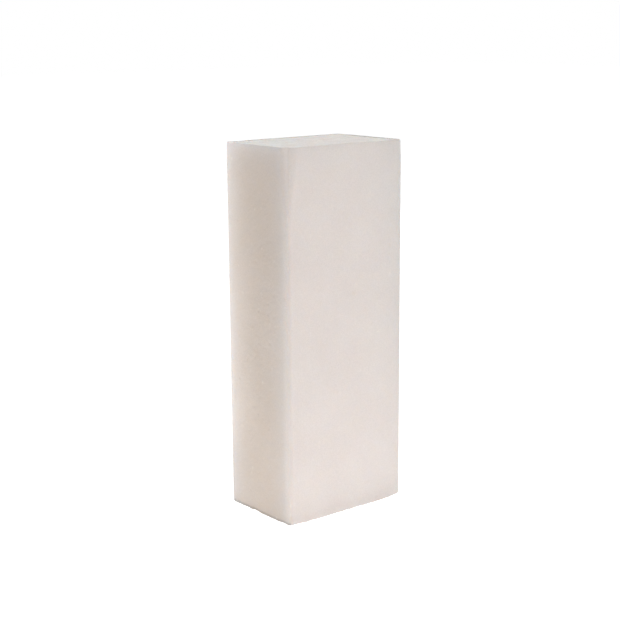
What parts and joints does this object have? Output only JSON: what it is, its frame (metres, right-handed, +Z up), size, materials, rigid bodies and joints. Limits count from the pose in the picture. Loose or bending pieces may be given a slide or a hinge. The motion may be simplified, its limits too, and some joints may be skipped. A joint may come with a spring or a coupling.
{
  "type": "nail buffer block",
  "caption": "Rectangular block of closed-cell foam with fine abrasive sheets stuck on its long sides and bare foam ends, for sanding and buffing fingernails.",
  "frame": {"origin": "centre of the lower small end, where the block stands", "axes": "+Z up along the block's length, +X across its width, +Y across its thickness; the wide sides face -Y (front) and +Y (back)"},
  "size_m": [0.0374, 0.0254, 0.095],
  "materials": {
    "foam": "matte",
    "grit_coat": "matte",
    "backing_paper": "matte",
    "adhesive_film": "satin"
  },
  "bodies": {
    "root": {"foam_core": "foam", "grit_coat_front": "grit_coat", "grit_coat_back": "grit_coat", "grit_coat_left": "grit_coat", "grit_coat_right": "grit_coat", "backing_paper_front": "backing_paper", "backing_paper_back": "backing_paper", "backing_paper_left": "backing_paper", "backing_paper_right": "backing_paper", "adhesive_film_front": "adhesive_film", "adhesive_film_back": "adhesive_film", "adhesive_film_left": "adhesive_film", "adhesive_film_right": "adhesive_film"}
  },
  "joints": []
}
